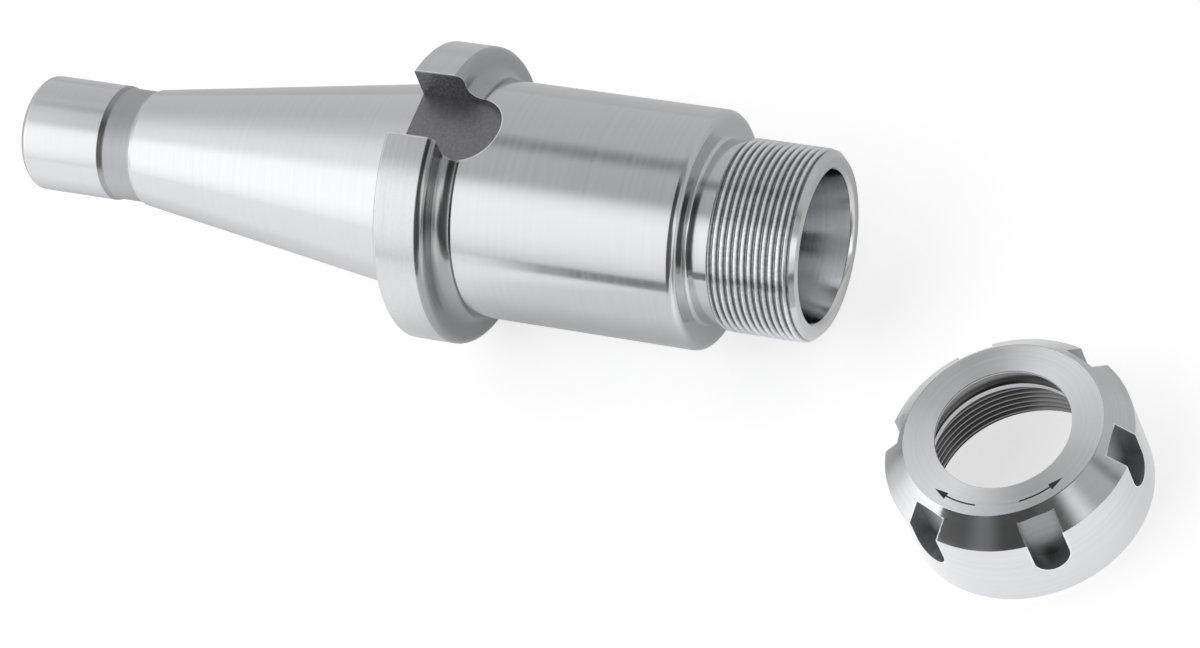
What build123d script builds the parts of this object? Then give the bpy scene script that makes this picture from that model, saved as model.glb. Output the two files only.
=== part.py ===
from build123d import *
import math
import os

# A 40 size steep taper collet chuck holder: a turned and ground steel body, and its clamping nut, taken off.
# The body lies on a flat surface with one drive slot down, and the nut stands beside its nose, face up.
# Millimetres. The origin is the centre of the gauge plane, where the taper is as wide as its gauge diameter.
# x along the body's axis is counted from the gauge plane, and grows towards the nose.

# Driving sizes of the shank: the 7:24 taper, its pilot, and the drawbar's thread in the rear end
taper_gauge_diameter = 44.45
taper_ratio = 7 / 24
taper_length = 65.4
shank_length = 93.4
lip_length = 1.1
neck_diameter = 24.2
pilot_diameter = 25.0
pilot_length = 19.5
pilot_front_bevel = 1.2
pilot_rear_chamfer = 1.5
drawbar_thread_minor = 13.835
drawbar_thread_length = 32.0
drawbar_recess_diameter = 17.0
drawbar_recess_depth = 8.0
centre_mouth_diameter = 19.0
centre_angle = 60.0
passage_diameter = 14.5

# Driving sizes of the flange and its two drive slots
flange_diameter = 63.0
flange_setback = 1.6
flange_thickness = 11.0
flange_rear_chamfer = 0.4
flange_fillet = 3.0
drive_slot_width = 16.1
drive_slot_floor = 22.5
drive_slot_end = 22.5

# Driving sizes of the straight body and the threaded nose
body_diameter = 50.0
body_front = 65.5
body_undercut = 0.2
undercut_ramp = 0.6
edge_round = 1.7
round_flats = 3
nose_end = 89.0
nose_thread_major = 40.0
thread_depth = 0.92
nose_relief_length = 5.5
nose_relief_bevel = 0.8
nose_relief_ramp = 0.8
nose_chamfer = 1.5

# Driving sizes of the collet's socket and the bore behind it
socket_mouth_diameter = 31.8
socket_half_angle = 8.0
socket_length = 31.0
socket_edge_chamfer = 0.7
clearance_bore_diameter = 23.0
clearance_bore_end = 37.0
drill_point_angle = 118.0

# Driving sizes of the clamping nut, counted up from the end that its thread opens at
nut_diameter = 50.0
nut_height = 22.5
nut_face_diameter = 40.1
nut_rear_chamfer = 0.6
nut_mouth_diameter = 27.3
nut_mouth_land = 0.5
nut_cone_half_angle = 30.0
nut_thread_clearance = 0.12
nut_thread_length = 11.2
nut_lead_in = 0.9
nut_relief_length = 2.4
nut_relief_depth = 0.4
ring_recess_diameter = 33.6
ring_thickness = 1.2
ring_bore_diameter = 32.2
ring_eccentricity = 0.5
spanner_slots = 6
spanner_slot_width = 7.2
spanner_slot_floor = 21.4
spanner_slot_bottom = 8.1
nut_ahead = 138.7
nut_aside = 39.3
nut_spin = 3.0

# The body rests on the two corners of its lower drive slot and on the front edge of its straight part.
# Both edges have the same rounding, so each touches where its rounding starts, and the axis leans by the
# slope of the line through those two points.
flange_front = flange_setback + flange_thickness
rim_contact_x = flange_front - edge_round
rim_contact_height = math.sqrt((flange_diameter / 2) ** 2 - (drive_slot_width / 2) ** 2)
edge_contact_x = body_front - edge_round
edge_contact_height = body_diameter / 2
lean = math.atan2(rim_contact_height - edge_contact_height, edge_contact_x - rim_contact_x)
axis_height = rim_contact_x * math.sin(lean) + rim_contact_height * math.cos(lean)

forward = Vector(math.cos(lean), 0, -math.sin(lean))
upward = Vector(math.sin(lean), 0, math.cos(lean))
holder_axis = Axis((0, 0, 0), forward)
section_plane = Plane(origin=(0, 0, 0), x_dir=forward, z_dir=(0, -1, 0))
slot_plane = Plane(origin=(0, 0, 0), x_dir=forward, z_dir=upward)

# Radii and stations that several features share
taper_slope = taper_ratio / 2
gauge_radius = taper_gauge_diameter / 2
taper_small_radius = gauge_radius - taper_slope * taper_length
taper_large_radius = gauge_radius + taper_slope * flange_setback
neck_radius = neck_diameter / 2
pilot_radius = pilot_diameter / 2
pilot_front = pilot_length - shank_length
flange_radius = flange_diameter / 2
body_radius = body_diameter / 2
undercut_radius = body_radius - body_undercut
thread_radius = nose_thread_major / 2
relief_radius = thread_radius - thread_depth
relief_end = body_front + nose_relief_length
socket_radius = socket_mouth_diameter / 2
socket_end_radius = socket_radius - socket_length * math.tan(math.radians(socket_half_angle))
drawbar_radius = drawbar_thread_minor / 2
recess_radius = drawbar_recess_diameter / 2
passage_radius = passage_diameter / 2
clearance_radius = clearance_bore_diameter / 2
drill_slope = math.tan(math.radians(drill_point_angle / 2))
centre_depth = (centre_mouth_diameter / 2 - recess_radius) / math.tan(math.radians(centre_angle / 2))
thread_start = -shank_length + drawbar_recess_depth + (recess_radius - drawbar_radius) / drill_slope
drill_point_length = (clearance_radius - passage_radius) / drill_slope
socket_edge_radius = socket_radius - socket_edge_chamfer * math.tan(math.radians(socket_half_angle))
cutter_run = shank_length + drive_slot_end
nut_radius = nut_diameter / 2
nut_bevel = nut_radius - nut_face_diameter / 2
nut_thread_radius = relief_radius + nut_thread_clearance
nut_relief_radius = thread_radius + nut_relief_depth
ring_bottom = nut_thread_length + nut_relief_length
ring_top = ring_bottom + ring_thickness
recess_wall_radius = ring_recess_diameter / 2
mouth_radius = nut_mouth_diameter / 2
cone_length = (recess_wall_radius - mouth_radius) / math.tan(math.radians(nut_cone_half_angle))
cone_bottom = nut_height - nut_mouth_land - cone_length


def flats(rounding):
    """Points along an arc, so that a rounding is cut as a few short cones and stays light."""
    return [rounding @ (step / round_flats) for step in range(round_flats + 1)]


# The body's turned outside, as half a section on the axis
with BuildPart() as holder_body:
    with BuildSketch(section_plane):
        with BuildLine():
            rim_round = RadiusArc(
                (rim_contact_x, flange_radius),
                (flange_front, flange_radius - edge_round),
                edge_round,
                mode=Mode.PRIVATE,
            )
            root_fillet = RadiusArc(
                (flange_front, undercut_radius + flange_fillet),
                (flange_front + flange_fillet, undercut_radius),
                -flange_fillet,
                mode=Mode.PRIVATE,
            )
            shoulder_round = RadiusArc(
                (edge_contact_x, body_radius),
                (body_front, body_radius - edge_round),
                edge_round,
                mode=Mode.PRIVATE,
            )
            Polyline(
                (-shank_length, 0),
                (-shank_length, pilot_radius - pilot_rear_chamfer),
                (-shank_length + pilot_rear_chamfer, pilot_radius),
                (pilot_front, pilot_radius),
                (pilot_front + pilot_front_bevel, neck_radius),
                (-taper_length - lip_length, neck_radius),
                (-taper_length, taper_small_radius),
                (flange_setback, taper_large_radius),
                (flange_setback, flange_radius - flange_rear_chamfer),
                (flange_setback + flange_rear_chamfer, flange_radius),
                *flats(rim_round),
                *flats(root_fillet),
                (flange_front + flange_fillet + undercut_ramp, body_radius),
                *flats(shoulder_round),
                (body_front, relief_radius + nose_relief_bevel),
                (body_front + nose_relief_bevel, relief_radius),
                (relief_end - nose_relief_ramp, relief_radius),
                (relief_end, thread_radius),
                (nose_end - nose_chamfer, thread_radius),
                (nose_end, thread_radius - nose_chamfer),
                (nose_end, 0),
                close=True,
            )
        make_face()
    revolve(axis=holder_axis)

    # The bore, from the drawbar's centred recess and thread through to the collet's socket
    with BuildSketch(section_plane):
        with BuildLine():
            Polyline(
                (-shank_length, 0),
                (-shank_length, centre_mouth_diameter / 2),
                (-shank_length + centre_depth, recess_radius),
                (-shank_length + drawbar_recess_depth, recess_radius),
                (thread_start, drawbar_radius),
                (thread_start + drawbar_thread_length, drawbar_radius),
                (thread_start + drawbar_thread_length, passage_radius),
                (clearance_bore_end - drill_point_length, passage_radius),
                (clearance_bore_end, clearance_radius),
                (nose_end - socket_length, clearance_radius),
                (nose_end - socket_length, socket_end_radius),
                (nose_end - socket_edge_chamfer, socket_edge_radius),
                (nose_end, socket_edge_radius + socket_edge_chamfer),
                (nose_end, 0),
                close=True,
            )
        make_face()
    revolve(axis=holder_axis, mode=Mode.SUBTRACT)

    # Two opposite drive slots, milled through the flange and run out into the straight body by a round cutter
    for side in (slot_plane, slot_plane.rotated((180, 0, 0))):
        with BuildSketch(side.offset(drive_slot_floor)):
            with Locations((drive_slot_end - drive_slot_width / 2, 0)):
                Circle(drive_slot_width / 2)
                Rectangle(cutter_run, drive_slot_width, align=(Align.MAX, Align.CENTER))
        extrude(amount=flange_radius, mode=Mode.SUBTRACT)

# The nut stands on the surface under the body, and its foot is the opening of its thread
nut_foot = Plane(origin=(nut_ahead, -nut_aside, -axis_height))
nut_section = Plane(origin=nut_foot.origin, x_dir=(1, 0, 0), z_dir=(0, -1, 0))
nut_axis = Axis(nut_foot.origin, (0, 0, 1))

# The nut's turned outside: a small chamfer at the foot and a broad bevel down from the face
with BuildPart() as clamping_nut:
    with BuildSketch(nut_section):
        with BuildLine():
            Polyline(
                (0, 0),
                (nut_radius - nut_rear_chamfer, 0),
                (nut_radius, nut_rear_chamfer),
                (nut_radius, nut_height - nut_bevel),
                (nut_face_diameter / 2, nut_height),
                (0, nut_height),
                close=True,
            )
        make_face()
    revolve(axis=nut_axis)

    # The thread's bore and the relief behind it, open at the foot
    with BuildSketch(nut_section):
        with BuildLine():
            Polyline(
                (0, 0),
                (nut_thread_radius + nut_lead_in, 0),
                (nut_thread_radius, nut_lead_in),
                (nut_thread_radius, nut_thread_length),
                (nut_relief_radius, nut_thread_length),
                (nut_relief_radius, ring_bottom),
                (0, ring_bottom),
                close=True,
            )
        make_face()
    revolve(axis=nut_axis, mode=Mode.SUBTRACT)

    # The recess for the collet's rim, the cone that presses on the collet, and the mouth
    with BuildSketch(nut_section):
        with BuildLine():
            Polyline(
                (0, ring_top),
                (recess_wall_radius, ring_top),
                (recess_wall_radius, cone_bottom),
                (mouth_radius, nut_height - nut_mouth_land),
                (mouth_radius, nut_height),
                (0, nut_height),
                close=True,
            )
        make_face()
    revolve(axis=nut_axis, mode=Mode.SUBTRACT)

    # The extractor ring's bore is off centre, so that one side of the ring catches in a collet's groove
    with BuildSketch(nut_foot.offset(ring_bottom)):
        with Locations((-ring_eccentricity, 0)):
            Circle(ring_bore_diameter / 2)
    extrude(amount=ring_thickness, mode=Mode.SUBTRACT)

    # Six slots for a hook spanner, milled in from the side with a round cutter and open at the bevel
    for number in range(spanner_slots):
        turn = math.radians(nut_spin + number * 360 / spanner_slots)
        outward = Vector(math.cos(turn), math.sin(turn), 0)
        slot_face = Plane(origin=nut_foot.origin, x_dir=(0, 0, 1), z_dir=outward)
        with BuildSketch(slot_face.offset(spanner_slot_floor)):
            with Locations((spanner_slot_bottom + spanner_slot_width / 2, 0)):
                Circle(spanner_slot_width / 2)
                Rectangle(nut_height, spanner_slot_width, align=(Align.MIN, Align.CENTER))
        extrude(amount=nut_radius, mode=Mode.SUBTRACT)

holder_body.part.label = "holder_body"
clamping_nut.part.label = "clamping_nut"

os.makedirs("parts", exist_ok=True)
export_step(holder_body.part, "parts/holder_body.step")
export_step(clamping_nut.part, "parts/clamping_nut.step")
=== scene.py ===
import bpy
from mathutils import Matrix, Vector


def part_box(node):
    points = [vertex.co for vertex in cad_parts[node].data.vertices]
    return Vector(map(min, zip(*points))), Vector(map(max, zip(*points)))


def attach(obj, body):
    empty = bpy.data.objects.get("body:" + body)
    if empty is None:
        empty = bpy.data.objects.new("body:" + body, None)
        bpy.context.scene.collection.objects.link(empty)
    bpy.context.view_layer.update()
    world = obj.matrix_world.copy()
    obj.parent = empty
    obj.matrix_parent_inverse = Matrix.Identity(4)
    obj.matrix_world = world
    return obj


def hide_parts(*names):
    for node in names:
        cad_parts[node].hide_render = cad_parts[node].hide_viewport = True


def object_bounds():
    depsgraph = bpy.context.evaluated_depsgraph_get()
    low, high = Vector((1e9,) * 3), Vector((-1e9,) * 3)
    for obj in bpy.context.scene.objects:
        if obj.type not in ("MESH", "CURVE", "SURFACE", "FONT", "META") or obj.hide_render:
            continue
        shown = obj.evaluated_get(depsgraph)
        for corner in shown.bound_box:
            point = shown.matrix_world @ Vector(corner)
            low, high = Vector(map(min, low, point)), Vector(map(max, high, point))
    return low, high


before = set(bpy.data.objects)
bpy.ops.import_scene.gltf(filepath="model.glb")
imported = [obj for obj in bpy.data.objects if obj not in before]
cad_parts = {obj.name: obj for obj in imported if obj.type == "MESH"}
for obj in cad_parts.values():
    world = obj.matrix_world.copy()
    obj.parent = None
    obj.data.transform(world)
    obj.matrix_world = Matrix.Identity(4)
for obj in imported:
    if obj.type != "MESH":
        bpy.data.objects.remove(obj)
cad_box = [list(corner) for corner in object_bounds()]

import math

import bpy
from mathutils import Euler, Matrix, Vector

bl_info = {
    "name": "Collet Chuck Holder",
    "version": (1, 0, 0),
    "blender": (4, 5, 0),
    "location": "3D View > Sidebar > Chuck Holder",
    "description": "Models a steep taper collet chuck holder and its clamping nut, lit on a pale studio floor",
    "category": "Add Mesh",
}

MM = 0.001
STEPS_ROUND = 240
SAME_POINT = 0.002 * MM
FINE_EDGE = 0.12 * MM
nut_low, nut_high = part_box("clamping_nut")
nut_middle = (nut_low + nut_high) / 2
floor_height = cad_box[0][2]


# ---------------- sizes and finishes that a user would change

class HolderSizes(bpy.types.PropertyGroup):
    gauge_diameter: bpy.props.FloatProperty(
        name="Gauge diameter", description="Width of the taper at its gauge plane",
        default=44.45 * MM, unit="LENGTH")
    taper_length: bpy.props.FloatProperty(
        name="Taper length", description="From the gauge plane to the taper's small end",
        default=65.4 * MM, unit="LENGTH")
    shank_length: bpy.props.FloatProperty(
        name="Shank length", description="From the gauge plane to the rear end of the pilot",
        default=93.4 * MM, unit="LENGTH")
    pilot_diameter: bpy.props.FloatProperty(
        name="Pilot diameter", description="Width of the plain cylinder behind the taper",
        default=25.0 * MM, unit="LENGTH")
    pilot_length: bpy.props.FloatProperty(
        name="Pilot length", description="From the rear end to the bevel behind the neck",
        default=19.5 * MM, unit="LENGTH")
    neck_diameter: bpy.props.FloatProperty(
        name="Neck diameter", description="Width of the matte groove between pilot and taper",
        default=24.2 * MM, unit="LENGTH")
    flange_diameter: bpy.props.FloatProperty(
        name="Flange diameter", description="Width of the flange that the drive slots cut through",
        default=63.0 * MM, unit="LENGTH")
    flange_rear: bpy.props.FloatProperty(
        name="Flange rear", description="From the gauge plane to the flange's rear face",
        default=1.6 * MM, unit="LENGTH")
    flange_front: bpy.props.FloatProperty(
        name="Flange front", description="From the gauge plane to the flange's front face",
        default=12.6 * MM, unit="LENGTH")
    slot_width: bpy.props.FloatProperty(
        name="Drive slot width", description="Width of each of the two drive slots",
        default=16.1 * MM, unit="LENGTH")
    slot_floor: bpy.props.FloatProperty(
        name="Drive slot floor", description="From the axis to the floor of a drive slot",
        default=22.5 * MM, unit="LENGTH")
    slot_end: bpy.props.FloatProperty(
        name="Drive slot end", description="From the gauge plane to the rounded end of a drive slot",
        default=22.5 * MM, unit="LENGTH")
    body_diameter: bpy.props.FloatProperty(
        name="Body diameter", description="Width of the straight ground body",
        default=50.0 * MM, unit="LENGTH")
    body_front: bpy.props.FloatProperty(
        name="Body front", description="From the gauge plane to the shoulder behind the nose",
        default=65.5 * MM, unit="LENGTH")
    nose_end: bpy.props.FloatProperty(
        name="Nose end", description="From the gauge plane to the end of the threaded nose",
        default=89.0 * MM, unit="LENGTH")
    thread_diameter: bpy.props.FloatProperty(
        name="Nose thread", description="Outer diameter of the thread that the nut screws onto",
        default=40.0 * MM, unit="LENGTH")
    thread_pitch: bpy.props.FloatProperty(
        name="Thread pitch", description="Distance from one turn of the nose thread to the next",
        default=1.5 * MM, unit="LENGTH")
    thread_depth: bpy.props.FloatProperty(
        name="Thread depth", description="Depth of the nose thread's groove",
        default=0.9 * MM, unit="LENGTH")
    socket_mouth: bpy.props.FloatProperty(
        name="Socket mouth", description="Width of the collet socket at the nose end",
        default=31.6 * MM, unit="LENGTH")
    socket_depth: bpy.props.FloatProperty(
        name="Socket depth", description="From the nose end to the small end of the collet socket",
        default=31.0 * MM, unit="LENGTH")
    bore_diameter: bpy.props.FloatProperty(
        name="Bore diameter", description="Width of the plain bore behind the collet socket",
        default=23.0 * MM, unit="LENGTH")
    edge_round: bpy.props.FloatProperty(
        name="Edge rounding", description="Radius on the front edges of the flange and the body",
        default=1.7 * MM, unit="LENGTH")
    root_fillet: bpy.props.FloatProperty(
        name="Root fillet", description="Radius where the flange meets the body",
        default=3.0 * MM, unit="LENGTH")


class NutSizes(bpy.types.PropertyGroup):
    diameter: bpy.props.FloatProperty(
        name="Nut diameter", description="Width of the clamping nut",
        default=50.0 * MM, unit="LENGTH")
    height: bpy.props.FloatProperty(
        name="Nut height", description="From the foot of the nut to its face",
        default=22.5 * MM, unit="LENGTH")
    face_diameter: bpy.props.FloatProperty(
        name="Face diameter", description="Outer width of the nut's flat face, inside the broad bevel",
        default=40.1 * MM, unit="LENGTH")
    mouth_diameter: bpy.props.FloatProperty(
        name="Mouth diameter", description="Width of the hole in the nut's face",
        default=27.3 * MM, unit="LENGTH")
    thread_bore: bpy.props.FloatProperty(
        name="Thread bore", description="Inner diameter of the nut's thread",
        default=38.4 * MM, unit="LENGTH")
    slots: bpy.props.IntProperty(
        name="Spanner slots", description="Number of slots for the hook spanner",
        default=6, min=2, max=12)
    slot_width: bpy.props.FloatProperty(
        name="Spanner slot width", description="Width of each spanner slot",
        default=7.2 * MM, unit="LENGTH")
    slot_floor: bpy.props.FloatProperty(
        name="Spanner slot floor", description="From the nut's axis to the floor of a spanner slot",
        default=21.4 * MM, unit="LENGTH")
    slot_bottom: bpy.props.FloatProperty(
        name="Spanner slot bottom", description="From the nut's foot to the round end of a spanner slot",
        default=8.1 * MM, unit="LENGTH")
    spin: bpy.props.FloatProperty(
        name="Spin", description="How far the nut is turned on the floor",
        default=math.radians(3.0), subtype="ANGLE")
    arrow_side: bpy.props.FloatProperty(
        name="Arrow side", description="Direction of the middle between the two etched arrows",
        default=math.radians(-77.0), subtype="ANGLE")
    arrow_radius: bpy.props.FloatProperty(
        name="Arrow radius", description="From the nut's axis to the etched arrows",
        default=17.8 * MM, unit="LENGTH")


class SteelFinish(bpy.types.PropertyGroup):
    ground: bpy.props.FloatVectorProperty(
        name="Ground steel", description="Colour of the ground and turned surfaces",
        default=(0.615, 0.62, 0.63), size=3, subtype="COLOR", min=0.0, max=1.0)
    matte: bpy.props.FloatVectorProperty(
        name="Matte steel", description="Colour of the turned neck",
        default=(0.45, 0.455, 0.47), size=3, subtype="COLOR", min=0.0, max=1.0)
    milled: bpy.props.FloatVectorProperty(
        name="Milled steel", description="Colour of the slots' floors and walls",
        default=(0.27, 0.27, 0.28), size=3, subtype="COLOR", min=0.0, max=1.0)
    inside: bpy.props.FloatVectorProperty(
        name="Nut inside", description="Colour of the nut's thread, cone and extractor ring",
        default=(0.3, 0.3, 0.305), size=3, subtype="COLOR", min=0.0, max=1.0)
    etched: bpy.props.FloatVectorProperty(
        name="Etched marks", description="Colour of the two arrows on the nut's face",
        default=(0.02, 0.02, 0.022), size=3, subtype="COLOR", min=0.0, max=1.0)
    polish: bpy.props.FloatProperty(
        name="Polish", description="Roughness of the ground surfaces",
        default=0.17, min=0.02, max=0.6, subtype="FACTOR")
    lines: bpy.props.FloatProperty(
        name="Turning lines", description="How strongly the fine turning lines show",
        default=1.0, min=0.0, max=3.0, subtype="FACTOR")


class StudioSettings(bpy.types.PropertyGroup):
    floor_colour: bpy.props.FloatVectorProperty(
        name="Floor", description="Colour of the pale studio floor",
        default=(0.58, 0.58, 0.585), size=3, subtype="COLOR", min=0.0, max=1.0)
    dome_level: bpy.props.FloatProperty(
        name="Dome", description="Brightness of the white studio walls and ceiling",
        default=1.0, min=0.0, max=2.0, subtype="FACTOR")
    strip_power: bpy.props.FloatProperty(
        name="Strip box", description="Power of the long soft box beside the holder",
        default=1.5, min=0.0, max=200.0, unit="POWER")
    lens: bpy.props.FloatProperty(
        name="Lens", description="Focal length of the camera on a frame 36 mm wide",
        default=126.336, min=10.0, max=400.0, unit="CAMERA")


# ---------------- modelling helpers

def deselect_everything():
    if bpy.context.object and bpy.context.object.mode != "OBJECT":
        bpy.ops.object.mode_set(mode="OBJECT")
    bpy.ops.object.select_all(action="DESELECT")


def make_active(piece):
    deselect_everything()
    piece.select_set(True)
    bpy.context.view_layer.objects.active = piece


def put(piece, matrix):
    """Moves the piece to its place and leaves that place in its mesh."""
    piece.matrix_world = matrix
    make_active(piece)
    bpy.ops.object.transform_apply(location=True, rotation=True, scale=True)


def edit_all():
    """Opens the active piece in edit mode with all of it selected."""
    bpy.ops.object.mode_set(mode="EDIT")
    bpy.ops.mesh.select_all(action="SELECT")


def pick(piece, kind, belongs):
    """Opens the active piece in edit mode with those of its vertices or faces selected for which belongs holds."""
    bpy.ops.object.mode_set(mode="EDIT")
    bpy.ops.mesh.select_mode(type=kind)
    bpy.ops.mesh.select_all(action="DESELECT")
    bpy.ops.object.mode_set(mode="OBJECT")
    for element in piece.data.vertices if kind == "VERT" else piece.data.polygons:
        element.select = belongs(element)
    bpy.ops.object.mode_set(mode="EDIT")


def close_outwards():
    """Turns all faces of the piece in edit mode outwards, and leaves edit mode."""
    bpy.ops.mesh.select_all(action="SELECT")
    bpy.ops.mesh.normals_make_consistent(inside=False)
    bpy.ops.object.mode_set(mode="OBJECT")


def draw_outline(name, corners):
    """A closed wire in the XZ plane through corners (along, out), drawn corner by corner from one vertex."""
    deselect_everything()
    bpy.ops.mesh.primitive_plane_add(size=MM, location=(0, 0, 0))
    piece = bpy.context.object
    piece.name = name
    edit_all()
    bpy.ops.mesh.select_mode(type="VERT")
    bpy.ops.mesh.merge(type="CENTER")
    points = [Vector((along, 0, out)) for along, out in corners]
    bpy.ops.transform.translate(value=points[0])
    for here, there in zip(points, points[1:] + points[:1]):
        bpy.ops.mesh.extrude_vertices_move(TRANSFORM_OT_translate={"value": there - here})
    bpy.ops.mesh.select_all(action="SELECT")
    bpy.ops.mesh.remove_doubles(threshold=SAME_POINT)
    bpy.ops.object.mode_set(mode="OBJECT")
    return piece


def round_corners(piece, rounding, corners, segments):
    """Rounds the wire's corners that stand at these places, by this distance along their edges."""
    near = 2 * SAME_POINT
    pick(piece, "VERT", lambda vertex: any(
        abs(vertex.co.x - along) < near and abs(vertex.co.z - out) < near for along, out in corners))
    bpy.ops.mesh.bevel(offset_type="OFFSET", offset=rounding, segments=segments, profile=0.5, affect="VERTICES")
    bpy.ops.object.mode_set(mode="OBJECT")


def turn_on_lathe(name, section):
    """Spins a section of (along, out, rounding) corners round the X axis into a closed solid."""
    piece = draw_outline(name, [(along, out) for along, out, _ in section])
    small_rounding = 0.6 * MM
    for rounding in sorted({size for _, _, size in section if size}):
        corners = [(along, out) for along, out, size in section if size == rounding]
        round_corners(piece, rounding, corners, 2 if rounding < small_rounding else 8)
    edit_all()
    bpy.ops.mesh.spin(steps=STEPS_ROUND, angle=2 * math.pi, center=(0, 0, 0), axis=(1, 0, 0))
    bpy.ops.mesh.select_all(action="SELECT")
    bpy.ops.mesh.remove_doubles(threshold=SAME_POINT)
    close_outwards()
    return piece


def give_finish(piece, material, belongs):
    """Paints the faces for which belongs(centre, normal) holds."""
    piece.data.materials.append(material)
    piece.active_material_index = len(piece.data.materials) - 1
    make_active(piece)
    pick(piece, "FACE", lambda face: belongs(face.center, face.normal))
    bpy.ops.object.material_slot_assign()
    bpy.ops.mesh.select_all(action="DESELECT")
    bpy.ops.object.mode_set(mode="OBJECT")


def cut_away(piece, cutter):
    """Takes the cutter's shape out of the piece. The cut faces keep the cutter's finish."""
    make_active(piece)
    bpy.ops.object.modifier_add(type="BOOLEAN")
    cut = piece.modifiers[-1]
    cut.operation = "DIFFERENCE"
    cut.solver = "EXACT"
    cut.material_mode = "TRANSFER"
    cut.object = cutter
    bpy.ops.object.modifier_apply(modifier=cut.name)
    bpy.data.objects.remove(cutter)
    if not piece.data.polygons:
        raise RuntimeError(f"a cut has left nothing of {piece.name}")


def thread_tool(name, start, turns, pitch, mouth, root, flat, finish):
    """A closed helical ridge about the X axis, which cuts a 60 degree groove from radius mouth to radius root."""
    slope = math.tan(math.radians(30))
    wide = flat + 2 * abs(mouth - root) * slope
    tool = draw_outline(name, [
        (start - wide / 2, mouth), (start - flat / 2, root), (start + flat / 2, root), (start + wide / 2, mouth)])
    make_active(tool)
    bpy.ops.object.modifier_add(type="SCREW")
    screw = tool.modifiers[-1]
    screw.axis = "X"
    screw.angle = 2 * math.pi
    screw.screw_offset = pitch
    screw.iterations = turns
    screw.steps = STEPS_ROUND
    screw.render_steps = STEPS_ROUND
    screw.use_smooth_shade = False
    bpy.ops.object.modifier_apply(modifier=screw.name)
    edit_all()
    bpy.ops.mesh.fill_holes(sides=4)
    close_outwards()
    tool.data.materials.append(finish)
    return tool


def slot_tool(name, width, reach, depth, wall_finish, floor_finish):
    """A milling cutter's path: a round end of this width at the origin, run out to -X, and this deep along Z."""
    deselect_everything()
    bpy.ops.mesh.primitive_circle_add(vertices=72, radius=width / 2, fill_type="NGON", location=(0, 0, 0))
    tool = bpy.context.object
    tool.name = name
    pick(tool, "VERT", lambda vertex: vertex.co.x < -0.01 * MM)
    bpy.ops.transform.translate(value=(-reach, 0, 0))
    bpy.ops.mesh.select_all(action="SELECT")
    bpy.ops.mesh.extrude_region_move(TRANSFORM_OT_translate={"value": (0, 0, depth)})
    close_outwards()
    tool.data.materials.append(wall_finish)
    give_finish(tool, floor_finish, lambda c, n: n.z < -0.5)
    return tool


def arrow_tool(sizes, way, finish):
    """A thin bent arrow over the nut's face, which bends away from the arrows' middle, to one side or the other."""
    start, neck, tip = (sizes.arrow_side + way * math.radians(angle) for angle in (14, 35, 45))
    radius, half_shaft, half_head = sizes.arrow_radius, 0.17 * MM, 0.75 * MM
    thickness, above_face = 0.1 * MM, 0.06 * MM
    bends = 8
    shaft = [start + (neck - start) * bend / bends for bend in range(bends + 1)]
    edge = [(turn, radius + half_shaft) for turn in shaft]
    edge += [(neck, radius + half_head), (tip, radius), (neck, radius - half_head)]
    edge += [(turn, radius - half_shaft) for turn in reversed(shaft)]
    tool = draw_outline("arrow_tool", [(out * math.cos(turn), out * math.sin(turn)) for turn, out in edge])
    edit_all()
    bpy.ops.mesh.edge_face_add()
    bpy.ops.mesh.extrude_region_move(TRANSFORM_OT_translate={"value": (0, thickness, 0)})
    close_outwards()
    tool.data.materials.append(finish)
    onto_face = Matrix(((0, -1, 0, sizes.height + above_face), (0, 0, 1, 0), (-1, 0, 0, 0), (0, 0, 0, 1)))
    put(tool, onto_face)
    return tool


def smooth_finish(piece):
    make_active(piece)
    bpy.ops.object.shade_smooth_by_angle(angle=math.radians(32))
    bpy.ops.object.modifier_add(type="WEIGHTED_NORMAL")
    weighted = piece.modifiers[-1]
    weighted.mode = "FACE_AREA"
    weighted.keep_sharp = True
    bpy.ops.object.modifier_apply(modifier=weighted.name)


# ---------------- finishes

# How fine the patterns are, per metre
STREAKS, CLOUDS, SPECKS, GRIT = 1050.0, 55.0, 1500.0, 2600.0
# How much closer the turning lines stand across the axis than along it
RINGS_CLOSER = 1.7
# What clouds and coarse streaks add to the roughness, as shares of it
CLOUD_WEAR, STREAK_WEAR = 0.25, 0.8
# How far out from a slot's edge the painted edge highlight is whole and where it ends, and how far both waver
PAINTED_HIGHLIGHT_WHOLE, PAINTED_HIGHLIGHT_END, PAINTED_HIGHLIGHT_WAVER = 0.12 * MM, 0.34 * MM, 0.35 * MM
# What the painted edge highlight adds to the tone, and what it adds to the roughness
PAINTED_HIGHLIGHT_TONE, PAINTED_HIGHLIGHT_ROUGHNESS = 0.45, 0.25
# Painted shade: the tone in a thread's root, and at the deep end of the collet socket
ROOT_SHADE, DEEP_SHADE = 0.32, 0.6


def new_group(name, inputs, outputs):
    """An empty shader group with named inputs and outputs, and its input and output nodes."""
    tree = bpy.data.node_groups.new(name, "ShaderNodeTree")
    for label, kind, value in inputs:
        socket = tree.interface.new_socket(name=label, in_out="INPUT", socket_type=kind)
        if value is not None:
            socket.default_value = value
    for label, kind in outputs:
        tree.interface.new_socket(name=label, in_out="OUTPUT", socket_type=kind)
    return tree, tree.nodes.new("NodeGroupInput"), tree.nodes.new("NodeGroupOutput")


def new_finish(name):
    """A new material with its node tree and its shader."""
    finish = bpy.data.materials.new(name)
    finish.use_nodes = True
    return finish, finish.node_tree, finish.node_tree.nodes["Principled BSDF"]


def place_on_piece(tree):
    return tree.nodes.new("ShaderNodeTexCoord").outputs["Object"]


def split_vector(tree, vector):
    """The x, y and z of a vector socket."""
    node = tree.nodes.new("ShaderNodeSeparateXYZ")
    tree.links.new(vector, node.inputs[0])
    return node.outputs


def tinted(tree, colour, tone):
    """The colour, lighter or darker as the tone varies. Returns its output."""
    node = tree.nodes.new("ShaderNodeVectorMath")
    node.operation = "SCALE"
    node.inputs[0].default_value = colour
    tree.links.new(tone, node.inputs["Scale"])
    return node.outputs[0]


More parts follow.
